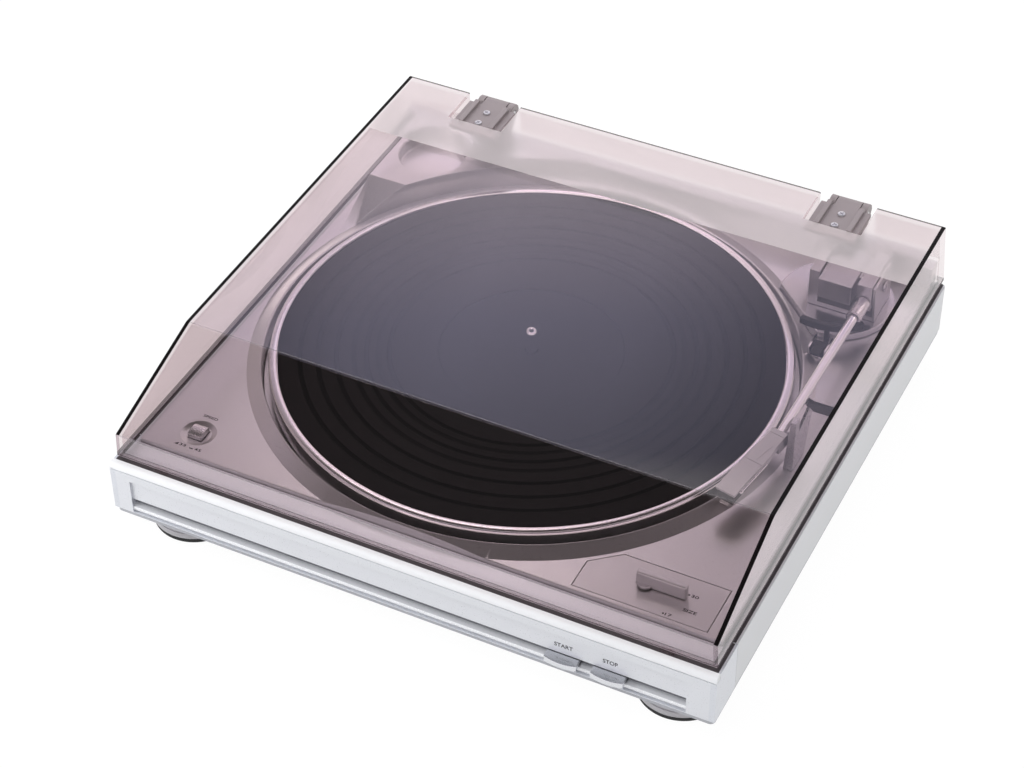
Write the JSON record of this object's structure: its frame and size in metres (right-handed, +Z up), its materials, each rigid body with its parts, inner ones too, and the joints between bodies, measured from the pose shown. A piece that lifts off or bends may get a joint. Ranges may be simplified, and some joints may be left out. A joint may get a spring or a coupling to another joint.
{
  "type": "automatic turntable",
  "caption": "Belt-drive automatic record turntable with a straight tonearm, front start and stop keys and a hinged tinted dust cover.",
  "frame": {"origin": "under the middle of the object's box, on the surface that the feet stand on", "axes": "+X to the right of someone facing the front keys, +Y to the hinges at the back, +Z up"},
  "size_m": [0.36, 0.357, 0.0953],
  "materials": {
    "silver_plastic": "silver-painted moulded plastic, fine flake",
    "white_plastic": "bright white-silver gloss",
    "key_silver": "satin silver paint",
    "satin_deck": "satin metallic silver paint, fine flake",
    "arm_grey": "satin grey moulding",
    "grey_plastic": "matte grey moulding",
    "dark_plastic": "black moulding",
    "hinge_plastic": "brown-grey moulding",
    "gear_plastic": "natural acetal",
    "stylus_plastic": "pale translucent moulding",
    "clear_plastic": "smoke-tinted clear moulding with a frosted rear band",
    "rubber": "black rubber",
    "mat_rubber": "ribbed black rubber",
    "aluminium": "cast, rim turned and polished",
    "chrome": "polished plate",
    "steel": "plain zinc-plated steel",
    "brass": "turned brass",
    "board": "green laminate with dark components"
  },
  "bodies": {
    "plinth": {"cabinet": "silver_plastic", "front_fascia": "silver_plastic", "fascia_top_strip": "white_plastic", "bottom_cover": "dark_plastic", "cord_gland": "rubber", "foot_front_left": "grey_plastic", "foot_front_right": "grey_plastic", "foot_rear_left": "grey_plastic", "foot_rear_right": "grey_plastic", "foot_pad_front_left": "rubber", "foot_pad_front_right": "rubber", "foot_pad_rear_left": "rubber", "foot_pad_rear_right": "rubber", "top_deck": "satin_deck", "size_panel": "satin_deck", "cam_gear": "gear_plastic", "sub_chassis": "steel", "spindle_bearing": "brass", "main_lever": "steel", "drive_motor": "steel", "drive_belt": "rubber", "circuit_board": "board", "arm_base": "arm_grey", "arm_rest": "arm_grey", "lift_cradle": "chrome", "cover_bumper_left": "rubber", "cover_bumper_right": "rubber", "hinge_bracket_left": "hinge_plastic", "hinge_bracket_right": "hinge_plastic", "hinge_pin_left": "steel", "hinge_pin_right": "steel"},
    "platter": {"platter": "aluminium", "platter_mat": "mat_rubber", "spindle": "chrome", "hub_gear": "gear_plastic"},
    "pulley": {"motor_pulley": "brass"},
    "arm_fork": {"arm_yoke": "arm_grey", "arm_shaft": "steel", "return_lever": "steel", "pivot_screw_left": "steel", "pivot_screw_right": "steel"},
    "tonearm": {"arm_housing": "arm_grey", "counterweight": "steel", "arm_tube": "chrome", "tube_sleeve": "chrome", "head_shell": "arm_grey", "cartridge": "dark_plastic", "stylus": "stylus_plastic", "finger_lift": "chrome"},
    "lift": {"lift_bar": "dark_plastic"},
    "cue": {"cue_lever": "dark_plastic"},
    "size_selector": {"size_lever": "arm_grey"},
    "speed_key": {"speed_button": "key_silver"},
    "start_key": {"start_button": "key_silver"},
    "stop_key": {"stop_button": "key_silver"},
    "cover": {"dust_cover": "clear_plastic", "hinge_leaf_left": "hinge_plastic", "hinge_leaf_right": "hinge_plastic"}
  },
  "joints": [
    {"name": "platter_spin", "type": "hinge", "parent": "plinth", "child": "platter", "pos_m": [-0.0098, 0.0035, 0.0595], "axis": [0, 0, -1], "continuous": true},
    {"name": "pulley_spin", "type": "hinge", "parent": "plinth", "child": "pulley", "pos_m": [-0.08758, 0.08128, 0.0485], "axis": [0, 0, -1], "continuous": true},
    {"name": "arm_swing", "type": "hinge", "parent": "plinth", "child": "arm_fork", "pos_m": [0.1285, 0.1242, 0.0603], "axis": [0, 0, -1], "range_deg": [0, 36]},
    {"name": "arm_pitch", "type": "hinge", "parent": "arm_fork", "child": "tonearm", "pos_m": [0.1285, 0.1242, 0.078], "axis": [-1, 0, 0], "range_deg": [0, 5.5]},
    {"name": "cue_turn", "type": "hinge", "parent": "plinth", "child": "cue", "pos_m": [0.1358, 0.0804, 0.06], "axis": [-1, 0, 0], "range_deg": [0, 25]},
    {"name": "lift_rise", "type": "slide", "parent": "plinth", "child": "lift", "axis": [0, 0, 1], "range_m": [0, 0.0028]},
    {"name": "size_turn", "type": "hinge", "parent": "plinth", "child": "size_selector", "pos_m": [0.1216, -0.1314, 0.0553], "axis": [0, 0, -1], "range_deg": [0, 38]},
    {"name": "speed_press", "type": "slide", "parent": "plinth", "child": "speed_key", "axis": [0, 0, -1], "range_m": [0, 0.0025]},
    {"name": "start_press", "type": "slide", "parent": "plinth", "child": "start_key", "axis": [0, 1, 0], "range_m": [0, 0.003], "stiffness_N_per_m": 200},
    {"name": "stop_press", "type": "slide", "parent": "plinth", "child": "stop_key", "axis": [0, 1, 0], "range_m": [0, 0.003], "stiffness_N_per_m": 200},
    {"name": "cover_open", "type": "hinge", "parent": "plinth", "child": "cover", "pos_m": [0, 0.1725, 0.0868], "axis": [-1, 0, 0], "range_deg": [0, 65]}
  ],
  "couplings": [
    {"joint": "pulley_spin", "follows": "platter_spin", "ratio": 14.182},
    {"joint": "cue_turn", "follows": "lift_rise", "rad_per_m": 155.83}
  ]
}
